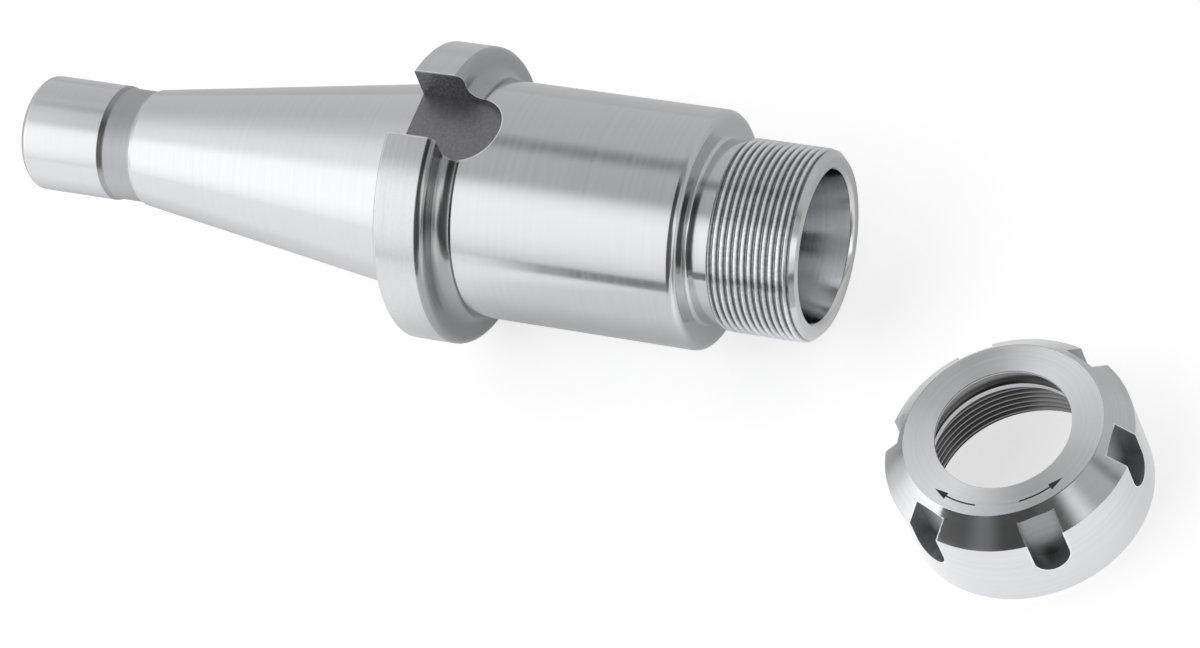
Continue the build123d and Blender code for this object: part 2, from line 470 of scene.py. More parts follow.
def place_group(tree, name, vector):
    """A shared effect in this material, laid out along this vector."""
    node = tree.nodes.new("ShaderNodeGroup")
    node.node_tree = bpy.data.node_groups[name]
    tree.links.new(vector, node.inputs["Vector"])
    return node


def feed(tree, node, values):
    """Gives the node's inputs their numbers or vectors, or links sockets to them, in order."""
    for socket, value in zip(node.inputs, values):
        if isinstance(value, bpy.types.NodeSocket):
            tree.links.new(value, socket)
        else:
            socket.default_value = value


def maths(tree, operation, *values):
    """A Math node of numbers or sockets. Returns its output."""
    node = tree.nodes.new("ShaderNodeMath")
    node.operation = operation
    feed(tree, node, values)
    return node.outputs[0]


def vector_maths(tree, operation, *values):
    """A Vector Math node of vectors or sockets. Returns its output."""
    node = tree.nodes.new("ShaderNodeVectorMath")
    node.operation = operation
    feed(tree, node, values)
    return node.outputs["Value" if operation in ("DOT_PRODUCT", "DISTANCE") else "Vector"]


def distance(tree, one, other):
    """The distance that two parts square to each other add up to."""
    squares = [maths(tree, "MULTIPLY", part, part) for part in (one, other)]
    return maths(tree, "SQRT", maths(tree, "ADD", *squares))


def ramp(tree, value, low, high, first=0.0, last=1.0):
    """A soft step of value from low to high. Returns its output."""
    node = tree.nodes.new("ShaderNodeMapRange")
    node.interpolation_type = "SMOOTHSTEP"
    tree.links.new(value, node.inputs["Value"])
    node.inputs["From Min"].default_value = low
    node.inputs["From Max"].default_value = high
    node.inputs["To Min"].default_value = first
    node.inputs["To Max"].default_value = last
    return node.outputs["Result"]


def noise(tree, vector, scale, detail, roughness):
    """A Noise texture with values from 0 to 1. Returns its output."""
    node = tree.nodes.new("ShaderNodeTexNoise")
    node.inputs["Scale"].default_value = scale
    node.inputs["Detail"].default_value = detail
    node.inputs["Roughness"].default_value = roughness
    tree.links.new(vector, node.inputs["Vector"])
    return node.outputs["Fac"]


def build_turning_lines():
    """Fine lines round the X axis, on a surface that runs along, across or aslant to it."""
    tree, given, result = new_group(
        "turning_lines",
        [("Vector", "NodeSocketVector", None), ("Lines per metre", "NodeSocketFloat", 3000.0),
         ("Unevenness", "NodeSocketFloat", 30.0)],
        [("Fine", "NodeSocketFloat"), ("Coarse", "NodeSocketFloat"), ("Cloud", "NodeSocketFloat"),
         ("Radius", "NodeSocketFloat")])
    x, y, z = split_vector(tree, given.outputs["Vector"])
    radius = distance(tree, y, z)
    # Stations run on both along the axis and outwards, so a face that stands across the axis gets rings.
    station = maths(tree, "MULTIPLY_ADD", radius, RINGS_CLOSER, x)

    def drawn_out(lines, unevenness):
        """A pattern that changes fast from station to station and slowly round the axis."""
        node = tree.nodes.new("ShaderNodeCombineXYZ")
        for socket, part, scale in zip(node.inputs, (station, y, z), (lines, unevenness, unevenness)):
            tree.links.new(maths(tree, "MULTIPLY", part, scale), socket)
        return node.outputs[0]

    fine = drawn_out(given.outputs["Lines per metre"], given.outputs["Unevenness"])
    tree.links.new(noise(tree, fine, 1.0, 3.0, 0.65), result.inputs["Fine"])
    tree.links.new(noise(tree, drawn_out(STREAKS, 12.0), 1.0, 2.0, 0.5), result.inputs["Coarse"])
    tree.links.new(noise(tree, given.outputs["Vector"], CLOUDS, 3.0, 0.55), result.inputs["Cloud"])
    tree.links.new(radius, result.inputs["Radius"])


def build_painted_slot_glints(name, width, end, above, repeats, spin, opens):
    """A mask for a thin painted highlight along the outer edges of milled slots, where small chamfers would catch the
    light, with the piece's axis along X.

    The slots' round ends have their centre at end, and opens is 1 or -1, the side of it where they are closed."""
    tree, given, result = new_group(name, [("Vector", "NodeSocketVector", None)], [("Edge", "NodeSocketFloat")])
    x, y, z = split_vector(tree, given.outputs["Vector"])
    radius = distance(tree, y, z)
    step = 2 * math.pi / repeats
    turn = maths(tree, "SUBTRACT", maths(tree, "ARCTAN2", maths(tree, "MULTIPLY", y, -1.0), z), spin)
    turn = maths(tree, "WRAP", turn, step / 2, -step / 2)
    across = maths(tree, "MULTIPLY", radius, maths(tree, "SINE", turn))
    past = maths(tree, "MAXIMUM", maths(tree, "MULTIPLY", maths(tree, "SUBTRACT", x, end), opens), 0.0)
    uneven = maths(tree, "SUBTRACT", noise(tree, given.outputs["Vector"], 900.0, 2.0, 0.6), 0.5)
    away = maths(tree, "SUBTRACT", distance(tree, past, across), width / 2)
    away = maths(tree, "MULTIPLY_ADD", uneven, PAINTED_HIGHLIGHT_WAVER, away)
    edge = ramp(tree, away, PAINTED_HIGHLIGHT_WHOLE, PAINTED_HIGHLIGHT_END, 1.0, 0.0)
    edge = maths(tree, "MULTIPLY", edge, maths(tree, "GREATER_THAN", radius, above))
    tree.links.new(edge, result.inputs["Edge"])


def way_round(tree, place, location, rotation):
    """The direction round the piece's axis, which the turning lines follow, so that highlights spread across them."""
    turn_back = Euler(rotation).to_matrix().transposed()
    from_axis = vector_maths(tree, "SUBTRACT", place, turn_back @ -Vector(location))
    return vector_maths(tree, "CROSS_PRODUCT", turn_back @ Vector((1, 0, 0)), from_axis)


def steel(name, lay, colour, roughness, lines, line_depth, shade=0.08, cloud=0.06, grain=0.0, anisotropy=0.5,
          metallic=1.0, groove=None, edges=None, sand=0.0, painted_bore_shade=None):
    """A steel finish with turning lines round the piece's axis.

    lay is the mapping's (location, rotation) that brings the axis to X, and lines is their number per metre.
    shade, cloud and sand say how far lines, clouds and specks change the tone, and line_depth and grain are the
    heights of the relief. groove is (root radius, crest radius) of a thread whose roots get painted shade, edges
    names a group that paints a highlight along slots' edges, and fade is (deep, shallow) along the axis, for a bore
    with painted shade that darkens inwards."""
    _, tree, shader = new_finish(name)
    shader.inputs["Metallic"].default_value = metallic
    shader.inputs["Anisotropic"].default_value = anisotropy
    shader.inputs["Anisotropic Rotation"].default_value = 0.25
    place = place_on_piece(tree)
    tree.links.new(way_round(tree, place, *lay), shader.inputs["Tangent"])
    mapping = tree.nodes.new("ShaderNodeMapping")
    mapping.inputs["Location"].default_value, mapping.inputs["Rotation"].default_value = lay
    tree.links.new(place, mapping.inputs["Vector"])
    lying = mapping.outputs[0]
    marks = place_group(tree, "turning_lines", lying)
    marks.inputs["Lines per metre"].default_value = lines

    fine, coarse, clouds = (
        maths(tree, "SUBTRACT", marks.outputs[mark], 0.5) for mark in ("Fine", "Coarse", "Cloud"))
    tone = maths(tree, "MULTIPLY_ADD", fine, shade, 1.0)
    tone = maths(tree, "MULTIPLY_ADD", coarse, shade, tone)
    tone = maths(tree, "MULTIPLY_ADD", clouds, cloud, tone)
    worn = maths(tree, "MULTIPLY_ADD", clouds, CLOUD_WEAR * roughness, roughness)
    worn = maths(tree, "MULTIPLY_ADD", coarse, STREAK_WEAR * roughness, worn)
    # Painted shade in a thread's roots, darker towards the root radius
    if groove:
        tone = maths(tree, "MULTIPLY", tone, ramp(tree, marks.outputs["Radius"], *groove, ROOT_SHADE, 1.0))
    # Painted highlight along the slots' outer edges: a lighter tone and a little more roughness
    if edges:
        slot_edge_highlight = place_group(tree, edges, lying).outputs["Edge"]
        tone = maths(tree, "MULTIPLY_ADD", slot_edge_highlight, PAINTED_HIGHLIGHT_TONE, tone)
        worn = maths(tree, "MULTIPLY_ADD", slot_edge_highlight, PAINTED_HIGHLIGHT_ROUGHNESS, worn)
    # Painted shade that darkens the bore towards its deep end
    if painted_bore_shade:
        tone = maths(tree, "MULTIPLY", tone, ramp(tree, split_vector(tree, lying)[0], *painted_bore_shade, DEEP_SHADE, 1.0))
    if sand:
        speck = maths(tree, "SUBTRACT", noise(tree, lying, SPECKS, 3.0, 0.7), 0.5)
        tone = maths(tree, "MULTIPLY_ADD", speck, 2 * sand, tone)
    tree.links.new(tinted(tree, colour, tone), shader.inputs["Base Color"])
    tree.links.new(worn, shader.inputs["Roughness"])

    height = maths(tree, "MULTIPLY", fine, line_depth)
    if grain:
        grit = maths(tree, "SUBTRACT", noise(tree, lying, GRIT, 2.0, 0.6), 0.5)
        height = maths(tree, "MULTIPLY_ADD", grit, grain, height)
    bump = tree.nodes.new("ShaderNodeBump")
    bump.inputs["Strength"].default_value = 1.0
    bump.inputs["Distance"].default_value = 1.0
    tree.links.new(height, bump.inputs["Height"])
    tree.links.new(bump.outputs[0], shader.inputs["Normal"])


def plain_dark(name, colour, roughness):
    """Etched marks: dull, with a fine grain."""
    _, tree, shader = new_finish(name)
    shader.inputs["Roughness"].default_value = roughness
    grit = noise(tree, place_on_piece(tree), 3000.0, 2.0, 0.6)
    tone = maths(tree, "MULTIPLY_ADD", grit, 0.8, 0.6)
    tree.links.new(tinted(tree, colour, tone), shader.inputs["Base Color"])


# ---------------- the pieces

class CHUCK_OT_finishes(bpy.types.Operator):
    """Makes the shared turning lines and every steel finish"""
    bl_idname = "chuck.finishes"
    bl_label = "Steel Finishes"

    def execute(self, context):
        sizes, nut_sizes = context.scene.chuck_holder, context.scene.chuck_nut
        finish = context.scene.chuck_finish
        build_turning_lines()
        # Masks for the painted highlight along the outer edges of the drive slots and the spanner slots
        build_painted_slot_glints(
            "drive_slot_painted_glints", sizes.slot_width, sizes.slot_end - sizes.slot_width / 2,
            above=sizes.slot_floor + 0.4 * MM, repeats=2, spin=0.0, opens=1.0)
        build_painted_slot_glints(
            "spanner_slot_painted_glints", nut_sizes.slot_width, nut_sizes.slot_bottom + nut_sizes.slot_width / 2,
            above=nut_sizes.slot_floor + 0.1 * MM, repeats=nut_sizes.slots, spin=nut_sizes.spin, opens=-1.0)

        ground, matte, milled = Vector(finish.ground), Vector(finish.matte), Vector(finish.milled)
        polish, depth = finish.polish, 0.0006 * MM * finish.lines
        lay = ((0, 0, 0), (0, -holder_lean(sizes), 0))
        # These finishes get the painted highlight along the drive slots' edges
        highlighted_edges = "drive_slot_painted_glints"
        steel("ground_finish", lay, ground, polish, 3200, depth, shade=0.07, cloud=0.05, edges=highlighted_edges)
        steel("rim_finish", lay, ground, polish * 1.3, 2800, depth, shade=0.12, cloud=0.06, grain=0.0008 * MM,
              edges=highlighted_edges, sand=0.06)
        steel("turned_steel", lay, ground, polish * 0.8, 2400, depth, shade=0.1, cloud=0.06, edges=highlighted_edges)
        # The flange's front face is the same steel painted darker, as painted shade that tones down its reflection
        steel("flange_front", lay, ground * 0.68, 0.19, 2400, depth, shade=0.12, cloud=0.08, edges=highlighted_edges)
        steel("matte_neck", lay, matte, 0.42, 1800, depth * 2, shade=0.12, cloud=0.1, grain=0.002 * MM,
              anisotropy=0.0)
        steel("dark_bevel", lay, milled * 1.3, 0.34, 1800, depth, shade=0.1, cloud=0.1)
        crest = sizes.thread_diameter / 2
        # The thread's steel is painted lighter than the ground steel on its crests, and its roots get painted shade
        steel("thread_steel", lay, ground * 1.32, 0.2, 5000, depth * 2, shade=0.35, cloud=0.25, grain=0.002 * MM,
              groove=(crest - 0.85 * MM, crest - 0.2 * MM), sand=0.3)
        steel("milled_slot", lay, milled, 0.42, 1500, depth, shade=0.1, cloud=0.45, grain=0.007 * MM, anisotropy=0.0,
              sand=0.35)
        rim = sizes.flange_diameter / 2
        # The slot walls are painted light just under the flange's rim and dark lower down: a painted highlight on the
        # edge and painted shade down the wall
        steel("slot_wall", lay, milled * 2, 0.42, 1500, depth, shade=0.2, cloud=0.4, grain=0.007 * MM, anisotropy=0.0,
              metallic=0.8, groove=(rim - 0.5 * MM, rim - 0.25 * MM), sand=0.5)
        # The socket's steel is painted lighter than the ground steel, and its bore gets painted shade towards the
        # deep end
        steel("socket_steel", lay, ground * 1.12, 0.13, 2600, depth, shade=0.25, cloud=0.1, anisotropy=0.6,
              painted_bore_shade=(sizes.nose_end - 26 * MM, sizes.nose_end - 3 * MM))
        steel("drilled_steel", lay, matte, 0.4, 900, depth * 4, shade=0.1, cloud=0.1, grain=0.002 * MM)

        lay = ((-nut_low.z, -nut_middle.y, nut_middle.x), (0, math.pi / 2, 0))
        # The nut's steel gets the painted highlight along the spanner slots' edges
        steel("nut_finish", lay, ground, polish * 0.9, 4200, depth, shade=0.1, cloud=0.05, anisotropy=0.6,
              edges="spanner_slot_painted_glints")
        # The face's roughness and brushing are its own turning; its colour is the nut's steel painted lighter, a
        # painted highlight on the nut's top
        steel("nut_face", lay, ground * 1.35, 0.36, 4200, depth, shade=0.16, cloud=0.05, anisotropy=0.95)
        bore = nut_sizes.thread_bore / 2
        # Painted shade in the roots of the nut's thread
        steel("nut_inside", lay, Vector(finish.inside), 0.3, 2600, depth, shade=0.1, cloud=0.08,
              groove=(bore + 0.8 * MM, bore))
        steel("spanner_slot", lay, matte * 0.62, 0.36, 1500, depth, shade=0.1, cloud=0.3, grain=0.003 * MM,
              anisotropy=0.0)
        steel("spanner_wall", lay, ground * 0.7, 0.38, 1500, depth, shade=0.2, cloud=0.3, grain=0.003 * MM,
              anisotropy=0.0, metallic=0.8)
        plain_dark("etched_mark", Vector(finish.etched), 0.6)
        return {"FINISHED"}


def holder_lean(sizes):
    """How far the holder's axis dips, lying on its lower drive slot and on the front edge of its body."""
    rim = math.sqrt((sizes.flange_diameter / 2) ** 2 - (sizes.slot_width / 2) ** 2)
    return math.atan2(rim - sizes.body_diameter / 2, sizes.body_front - sizes.flange_front)


NECK_BEVEL = 1.2 * MM


def holder_section(sizes):
    """The holder's half section as (along, out, rounding), outside to the nose and back through the bore."""
    gauge = sizes.gauge_diameter / 2
    slope = 7 / 48
    rear, nose, shoulder = -sizes.shank_length, sizes.nose_end, sizes.body_front
    pilot, neck = sizes.pilot_diameter / 2, sizes.neck_diameter / 2
    neck_start, small_end = rear + sizes.pilot_length + NECK_BEVEL, -sizes.taper_length
    # The outer diameters stay a hair inside the solids' own.
    flange, body = sizes.flange_diameter / 2 - 0.02 * MM, sizes.body_diameter / 2 - 0.01 * MM
    flange_back, front = sizes.flange_rear, sizes.flange_front
    body_root, root_end = body - 0.2 * MM, front + sizes.root_fillet
    thread = sizes.thread_diameter / 2
    relief = thread - 0.92 * MM
    chamfer, step = 1.5 * MM, 0.4 * MM
    mouth, mouth_chamfer = sizes.socket_mouth / 2, 0.7 * MM
    socket_end, socket_radius = nose - sizes.socket_depth, 11.543 * MM
    bore, bore_end, bore_point = sizes.bore_diameter / 2, 37.0 * MM, 34.446 * MM
    passage, drawbar, recess = 7.25 * MM, 6.9175 * MM, 8.5 * MM
    drawbar_front, drawbar_rear, drawbar_countersink = -52.449 * MM, -84.449 * MM, -85.4 * MM
    recess_front, centre_hole = -91.668 * MM, 9.5 * MM
    return [
        (rear, centre_hole, FINE_EDGE),
        (rear, pilot - chamfer, 0.5 * MM),
        (rear + chamfer, pilot, 0.5 * MM),
        (rear + sizes.pilot_length, pilot, FINE_EDGE),
        (neck_start, neck, 0.3 * MM),
        (small_end - 1.1 * MM, neck, 0.3 * MM),
        (small_end, gauge - slope * sizes.taper_length, FINE_EDGE),
        (flange_back, gauge + slope * flange_back, 0),
        (flange_back, flange - step, FINE_EDGE),
        (flange_back + step, flange, FINE_EDGE),
        (front, flange, sizes.edge_round),
        (front, body_root, sizes.root_fillet),
        (root_end + 0.05 * MM, body_root, 0),
        (root_end + 0.6 * MM, body, FINE_EDGE),
        (shoulder, body, sizes.edge_round),
        (shoulder, relief, 0.8 * MM),
        (shoulder + 4.7 * MM, relief, FINE_EDGE),
        (shoulder + 5.5 * MM, thread, FINE_EDGE),
        (nose - chamfer, thread, FINE_EDGE),
        (nose, thread - chamfer, FINE_EDGE),
        (nose, mouth + mouth_chamfer, FINE_EDGE),
        (nose - mouth_chamfer, mouth, FINE_EDGE),
        (socket_end, socket_radius, 0),
        (socket_end, bore, 0),
        (bore_end, bore, 0),
        (bore_point, passage, 0),
        (drawbar_front, passage, 0),
        (drawbar_front, drawbar, 0),
        (drawbar_rear, drawbar, 0),
        (drawbar_countersink, recess, 0),
        (recess_front, recess, 0),
    ]


class CHUCK_OT_holder(bpy.types.Operator):
    """Turns the holder from its section, cuts its threads and mills its two drive slots"""
    bl_idname = "chuck.holder"
    bl_label = "Turned Body"

    def execute(self, context):
        sizes = context.scene.chuck_holder
        finishes = bpy.data.materials
        body = turn_on_lathe("turned_body", holder_section(sizes))
        rear, nose = -sizes.shank_length, sizes.nose_end
        pilot_end = rear + sizes.pilot_length
        neck_start = pilot_end + NECK_BEVEL
        rim_end = sizes.flange_front - sizes.edge_round + 0.1 * MM
        root_end = sizes.flange_front + sizes.root_fillet + 0.65 * MM
        socket_end = nose - sizes.socket_depth
        bore, mouth = sizes.bore_diameter / 2, sizes.socket_mouth / 2
        pilot_inside = 11.5 * MM

        def paint(name, start, end, inner, outer=math.inf):
            """Gives a finish to the faces between two stations along the axis and two radii."""
            give_finish(body, finishes[name],
                        lambda c, n: start < c.x < end and inner < math.hypot(c.y, c.z) < outer)

        give_finish(body, finishes["ground_finish"], lambda c, n: True)
        paint("matte_neck", neck_start, -sizes.taper_length - 0.6 * MM, pilot_inside)
        paint("dark_bevel", pilot_end + 0.05 * MM, neck_start, pilot_inside)
        paint("rim_finish", sizes.flange_rear - 0.1 * MM, rim_end, sizes.slot_floor + 0.3 * MM)
        paint("turned_steel", sizes.body_front + 0.1 * MM, nose + MM, mouth + 0.6 * MM)
        # The flange's front face gets the darker copy of the steel, a painted shade
        paint("flange_front", rim_end, root_end, 20 * MM)
        paint("thread_steel", sizes.body_front + 5.3 * MM, nose - 1.45 * MM, 19 * MM)
        paint("socket_steel", socket_end - 0.1 * MM, nose - 0.05 * MM, bore + 0.01 * MM, mouth + 0.65 * MM)
        paint("drilled_steel", rear + 0.2 * MM, socket_end + 0.05 * MM, 0, bore + 0.03 * MM)

        thread = sizes.thread_diameter / 2
        cut_away(body, thread_tool(
            "nose_thread_tool", sizes.body_front + 4.0 * MM, turns=14, pitch=sizes.thread_pitch,
            mouth=thread + 0.08 * MM, root=thread - sizes.thread_depth, flat=0.27 * MM,
            finish=finishes["thread_steel"]))
        cut_away(body, thread_tool(
            "drawbar_thread_tool", rear + 5.0 * MM, turns=18, pitch=2 * MM, mouth=6.85 * MM, root=8.0 * MM,
            flat=0.25 * MM, finish=finishes["drilled_steel"]))
        for side in (0, math.pi):
            slot = slot_tool("drive_slot_tool", sizes.slot_width, reach=40 * MM, depth=20 * MM,
                             wall_finish=finishes["slot_wall"], floor_finish=finishes["milled_slot"])
            put(slot, Matrix.Rotation(side, 4, "X")
                @ Matrix.Translation((sizes.slot_end - sizes.slot_width / 2, 0, sizes.slot_floor)))
            cut_away(body, slot)
        smooth_finish(body)
        put(body, Matrix.Rotation(holder_lean(sizes), 4, "Y"))
        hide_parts("holder_body")
        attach(body, "root")
        return {"FINISHED"}


# Inside the nut, from its foot: the thread's end, then the extractor ring below the collet cone
NUT_THREAD_END, RING_FOOT, RING_TOP = 11.2 * MM, 13.6 * MM, 14.8 * MM


def nut_section(sizes):
    """The nut's half section as (along, out, rounding) up from the foot, drawn lying along X."""
    # The outer diameter stays a hair inside the solid's own.
    wide = sizes.diameter / 2 - 0.01 * MM
    high = sizes.height
    face, mouth, bore = sizes.face_diameter / 2, sizes.mouth_diameter / 2, sizes.thread_bore / 2
    mouth_land, foot_chamfer, thread_chamfer = 0.5 * MM, 0.6 * MM, 0.9 * MM
    cone_foot, ring, relief = 16.8 * MM, 15.4 * MM, 20.4 * MM
    cone = (cone_foot - mouth) / math.tan(math.radians(30))
    return [
        (0, bore + thread_chamfer, FINE_EDGE),
        (0, wide - foot_chamfer, FINE_EDGE),
        (foot_chamfer, wide, FINE_EDGE),
        (high - (wide - face), wide, FINE_EDGE),
        (high, face, FINE_EDGE),
        (high, mouth, FINE_EDGE),
        (high - mouth_land, mouth, 0),
        (high - mouth_land - cone, cone_foot, 0),
        (RING_TOP, cone_foot, 0),
        (RING_TOP, ring, 0),
        (RING_FOOT, ring, 0),
        (RING_FOOT, relief, 0),
        (NUT_THREAD_END, relief, 0),
        (NUT_THREAD_END, bore, 0),
        (thread_chamfer, bore, 0),
    ]


class CHUCK_OT_nut(bpy.types.Operator):
    """Turns the clamping nut, cuts its thread and its spanner slots, and etches the two arrows"""
    bl_idname = "chuck.nut"
    bl_label = "Slotted Nut"

    def execute(self, context):
        sizes = context.scene.chuck_nut
        finishes = bpy.data.materials
        nut = turn_on_lathe("slotted_nut", nut_section(sizes))
        give_finish(nut, finishes["nut_finish"], lambda c, n: True)
        give_finish(nut, finishes["nut_face"], lambda c, n: c.x > sizes.height - 0.01 * MM)
        give_finish(nut, finishes["nut_inside"],
                    lambda c, n: 0.1 * MM < c.x < sizes.height - 0.6 * MM and math.hypot(c.y, c.z) < 20.6 * MM)
        # The extractor ring's bore stands off centre, so one side of the ring reaches further in.
        deselect_everything()
        bpy.ops.mesh.primitive_cylinder_add(
            vertices=STEPS_ROUND, radius=16.1 * MM, depth=4 * MM,
            location=((RING_FOOT + RING_TOP) / 2, 0, 0.5 * MM), rotation=(0, math.pi / 2, 0))
        ring = bpy.context.object
        put(ring, ring.matrix_world.copy())
        ring.data.materials.append(finishes["nut_finish"])
        cut_away(nut, ring)
        bore = sizes.thread_bore / 2
        cut_away(nut, thread_tool(
            "nut_thread_tool", -1.9 * MM, turns=9, pitch=context.scene.chuck_holder.thread_pitch,
            mouth=bore - 0.1 * MM, root=bore + 0.83 * MM, flat=0.167 * MM, finish=finishes["nut_inside"]))
        for number in range(sizes.slots):
            slot = slot_tool("spanner_slot_tool", sizes.slot_width, reach=20 * MM, depth=8 * MM,
                             wall_finish=finishes["spanner_wall"], floor_finish=finishes["spanner_slot"])
            put(slot, Matrix.Rotation(sizes.spin + number * 2 * math.pi / sizes.slots, 4, "X")
                @ Matrix.Translation((sizes.slot_bottom + sizes.slot_width / 2, 0, sizes.slot_floor))
                @ Matrix.Rotation(math.pi, 4, "Z"))
            cut_away(nut, slot)
        for way in (-1, 1):
            cut_away(nut, arrow_tool(sizes, way, finishes["etched_mark"]))
        # It was turned lying along X, and now stands up with its foot on the floor.
        standing = Matrix.Translation((nut_middle.x, nut_middle.y, nut_low.z))
        smooth_finish(nut)
        put(nut, standing @ Matrix.Rotation(-math.pi / 2, 4, "Y"))
        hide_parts("clamping_nut")
        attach(nut, "root")
        return {"FINISHED"}


# ---------------- the studio

# Levels of the studio round the holder's axis, as (degrees from overhead, level). Minus is the camera's side.
STUDIO_AT_NOSE = (
    (-180, 0.9), (-112, 1.05), (-92, 0.85), (-80, 1.15), (-68, 1.3), (-40, 1.42), (-28, 1.25), (-15, 0.56),
    (12, 0.6), (17, 0.42), (22, 0.28), (27, 0.42), (33, 0.62), (90, 0.68), (107, 0.8), (125, 1.0), (180, 0.9))
STUDIO_AT_TAIL = (
    (-180, 1.0), (-112, 1.25), (-99, 1.2), (-85, 1.45), (-70, 1.57), (-30, 1.55), (-16, 1.2), (0, 1.15),
    (12, 1.05), (24, 0.88), (36, 0.8), (48, 0.72), (90, 0.74), (107, 0.87), (120, 1.0), (180, 1.0))


def levels(tree, turn, stops):
    """The level at an angle between -pi and pi, from stops in degrees."""
    share = maths(tree, "MULTIPLY_ADD", turn, 0.5 / math.pi, 0.5)
    node = tree.nodes.new("ShaderNodeValToRGB")
    node.color_ramp.interpolation = "LINEAR"
    elements = node.color_ramp.elements
    elements.remove(elements[1])
    for number, (angle, level) in enumerate(stops):
        element = elements[0] if number == 0 else elements.new(angle / 360 + 0.5)
        element.position = angle / 360 + 0.5
        element.color = (level / 2, level / 2, level / 2, 1)
    tree.links.new(share, node.inputs[0])
    return maths(tree, "MULTIPLY", node.outputs[0], 2.0)


def holder_axes(lean):
    """The holder's axis, towards its nose, and the direction square to it that points up."""
    return Vector((math.cos(lean), 0, -math.sin(lean))), Vector((math.sin(lean), 0, math.cos(lean)))


def build_dome(brightness, lean):
    """A white studio round the holder: a bright side, a dimmer ceiling and a dark place where the camera stands."""
    world = bpy.data.worlds.new("studio_dome")
    bpy.context.scene.world = world
    world.use_nodes = True
    tree = world.node_tree
    background = tree.nodes["Background"]
    way = tree.nodes.new("ShaderNodeTexCoord").outputs["Generated"]
    along, above, across = (
        vector_maths(tree, "DOT_PRODUCT", way, direction) for direction in (*holder_axes(lean), (0, 1, 0)))
    turn = maths(tree, "ARCTAN2", across, above)
    nose = levels(tree, turn, STUDIO_AT_NOSE)
    tail = levels(tree, turn, STUDIO_AT_TAIL)
    tail_share = ramp(tree, along, -0.56, -0.4, 1.0, 0.0)
    level = maths(tree, "MULTIPLY_ADD", maths(tree, "SUBTRACT", tail, nose), tail_share, nose)
    # The dark place where the camera stands, beside and ahead of the nose. It reaches further ahead low down.
    beside = maths(tree, "MULTIPLY", ramp(tree, turn, math.radians(-100), math.radians(-90)),
                   ramp(tree, turn, math.radians(-2), math.radians(22), 1.0, 0.0))
    beside = maths(tree, "MULTIPLY", beside, ramp(tree, along, -0.29, -0.17))
    low = ramp(tree, turn, math.radians(-50), math.radians(-30), 1.0, 0.0)
    ahead = maths(tree, "MAXIMUM", ramp(tree, along, 0.58, 0.72, 1.0, 0.0),
                  maths(tree, "MULTIPLY", ramp(tree, along, 0.75, 0.9, 1.0, 0.0), low))
    dark = maths(tree, "MULTIPLY", beside, ahead)
    level = maths(tree, "MULTIPLY", level, maths(tree, "MULTIPLY_ADD", dark, -0.9, 1.0))
    tree.links.new(maths(tree, "MULTIPLY", level, brightness), background.inputs["Strength"])
    background.inputs["Color"].default_value = (1, 1, 1, 1)


def lay_floor(colour):
    """A pale floor, with a painted glow that only reflections see, so that the steel mirrors it brighter in front of
    the pieces and round the nut.
    """
    deselect_everything()
    bpy.ops.mesh.primitive_plane_add(size=8, location=(0, 0, floor_height - 0.02 * MM))
    floor = bpy.context.object
    floor.name = "studio_floor"
    paper, tree, shader = new_finish("pale_floor")
    shader.inputs["Base Color"].default_value = (*colour, 1)
    shader.inputs["Roughness"].default_value = 0.9
    shader.inputs["Specular IOR Level"].default_value = 0.0
    place = place_on_piece(tree)
    x, y, _ = split_vector(tree, place)
    # Painted glow that only the steel's reflections see: brighter round the nut, beside the taper and in front of the
    # pieces
    from_nut = vector_maths(tree, "DISTANCE", place, (nut_middle.x, nut_middle.y, 0))
    round_nut = ramp(tree, from_nut, 50 * MM, 80 * MM, 0.32, 0.0)
    beside_taper = maths(tree, "MULTIPLY", ramp(tree, x, -30 * MM, 10 * MM, 0.27, 0.0),
                         ramp(tree, y, -25 * MM, 0.0, 1.0, 0.0))
    before = ramp(tree, y, -60 * MM, -15 * MM, 0.53, 0.25)
    painted_glow = maths(tree, "ADD", maths(tree, "ADD", round_nut, beside_taper), before)
    rays = tree.nodes.new("ShaderNodeLightPath").outputs
    mirrored = maths(tree, "MAXIMUM", rays["Is Glossy Ray"], rays["Is Transmission Ray"])
    whitened = maths(tree, "MULTIPLY", rays["Is Camera Ray"], 0.68)
    shader.inputs["Emission Color"].default_value = (1, 1, 1, 1)
    tree.links.new(maths(tree, "MULTIPLY_ADD", mirrored, painted_glow, whitened), shader.inputs["Emission Strength"])
    floor.data.materials.append(paper)


def stand_card(name, place, width, height, grey, middle_grey):
    """An upright card beside the pieces, which shows only as a dark band in the steel.

    Its colour runs from middle_grey in the middle to grey at a sixth of its width to either side."""
    deselect_everything()
    bpy.ops.mesh.primitive_plane_add(size=1, location=place, rotation=(math.pi / 2, 0, 0))
    card = bpy.context.object
    card.name = name
    card.scale = (width, height, 1)
    paper, tree, shader = new_finish(name)
    sideways = maths(tree, "ABSOLUTE", split_vector(tree, place_on_piece(tree))[0])
    tree.links.new(ramp(tree, sideways, 0.0, 1 / 6, middle_grey, grey), shader.inputs["Base Color"])
    card.data.materials.append(paper)
    card.visible_camera = False
    card.visible_diffuse = False
    card.visible_shadow = False


def hang_strip_box(power, lean):
    """A long soft box on the camera's side of the holder, along its axis."""
    axis, above = holder_axes(lean)
    tilt = math.radians(-52)
    towards = above * math.cos(tilt) + Vector((0, 1, 0)) * math.sin(tilt)
    lamp = bpy.data.lights.new("strip_box", "AREA")
    lamp.shape = "RECTANGLE"
    lamp.size, lamp.size_y = 1.5, 0.85
    lamp.energy = power
    strip = bpy.data.objects.new("strip_box", lamp)
    bpy.context.scene.collection.objects.link(strip)
    strip.matrix_world = (Matrix.Translation(axis * -0.5 + towards * 0.9)
                          @ Matrix((axis, towards.cross(axis), towards)).transposed().to_4x4())
    strip.visible_camera = False
    strip.visible_glossy = False


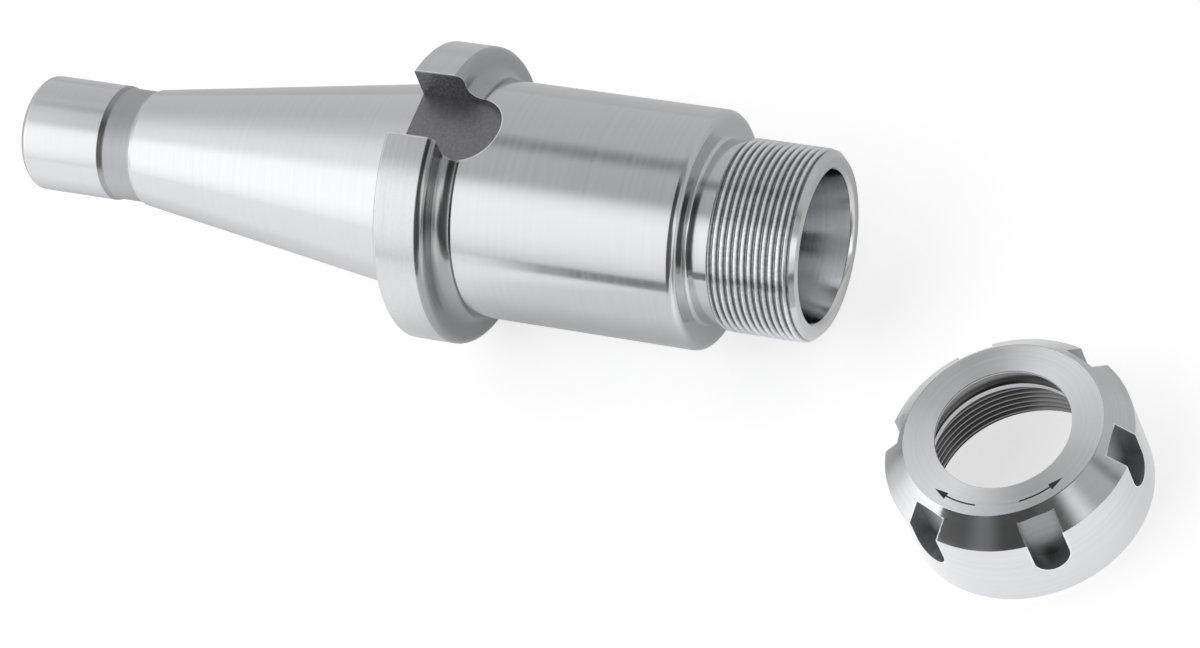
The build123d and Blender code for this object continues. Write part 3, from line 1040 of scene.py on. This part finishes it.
def set_camera(lens):
    """The camera at the photograph's viewing angle."""
    camera_data = bpy.data.cameras.new("photo_camera")
    camera_data.sensor_fit = "HORIZONTAL"
    camera_data.sensor_width = 36.0
    camera_data.lens = lens
    camera_data.clip_start = 0.01
    camera = bpy.data.objects.new("photo_camera", camera_data)
    bpy.context.scene.collection.objects.link(camera)
    forward = Vector((-0.4507, 0.4925, -0.7446)).normalized()
    right = forward.cross(Vector((-0.0860, 0.8062, 0.5853))).normalized()
    upward = right.cross(forward).normalized()
    view = Matrix((right, upward, -forward)).transposed().to_4x4()
    camera.matrix_world = Matrix.Translation((0.434084, -0.448578, 0.632830)) @ view
    bpy.context.scene.camera = camera


class CHUCK_OT_stage(bpy.types.Operator):
    """Lays the pale floor and sets the studio, the strip box and the camera"""
    bl_idname = "chuck.stage"
    bl_label = "Studio and Camera"

    def execute(self, context):
        studio = context.scene.chuck_studio
        lean = holder_lean(context.scene.chuck_holder)
        lay_floor(studio.floor_colour)
        stand_card("table_edge", (50 * MM, -210 * MM, floor_height + 23 * MM), 200 * MM, 36 * MM, 0.46, 0.46)
        stand_card("nut_card", (nut_low.x + 14 * MM, nut_low.y - 40 * MM, floor_height + 58 * MM),
                   110 * MM, 50 * MM, 0.14, 0.42)
        build_dome(studio.dome_level, lean)
        hang_strip_box(studio.strip_power, lean)
        set_camera(studio.lens)
        context.scene.view_settings.view_transform = "Standard"
        return {"FINISHED"}


class CHUCK_PT_panel(bpy.types.Panel):
    """Lists the sizes, the finishes and the steps"""
    bl_idname = "CHUCK_PT_panel"
    bl_label = "Collet Chuck Holder"
    bl_space_type = "VIEW_3D"
    bl_region_type = "UI"
    bl_category = "Chuck Holder"

    def draw(self, context):
        layout = self.layout
        for step in STEPS:
            layout.operator(step.bl_idname)
        for group in (context.scene.chuck_holder, context.scene.chuck_nut, context.scene.chuck_finish,
                      context.scene.chuck_studio):
            box = layout.box()
            for name in group.bl_rna.properties.keys():
                if name not in ("rna_type", "name"):
                    box.prop(group, name)


STEPS = (CHUCK_OT_finishes, CHUCK_OT_holder, CHUCK_OT_nut, CHUCK_OT_stage)
CLASSES = (HolderSizes, NutSizes, SteelFinish, StudioSettings, *STEPS, CHUCK_PT_panel)


def register():
    for item in CLASSES:
        bpy.utils.register_class(item)
    bpy.types.Scene.chuck_holder = bpy.props.PointerProperty(type=HolderSizes)
    bpy.types.Scene.chuck_nut = bpy.props.PointerProperty(type=NutSizes)
    bpy.types.Scene.chuck_finish = bpy.props.PointerProperty(type=SteelFinish)
    bpy.types.Scene.chuck_studio = bpy.props.PointerProperty(type=StudioSettings)


def unregister():
    del bpy.types.Scene.chuck_studio
    del bpy.types.Scene.chuck_finish
    del bpy.types.Scene.chuck_nut
    del bpy.types.Scene.chuck_holder
    for item in reversed(CLASSES):
        bpy.utils.unregister_class(item)


def main():
    register()
    bpy.ops.chuck.finishes()
    bpy.ops.chuck.holder()
    bpy.ops.chuck.nut()
    bpy.ops.chuck.stage()


if __name__ == "__main__":
    main()
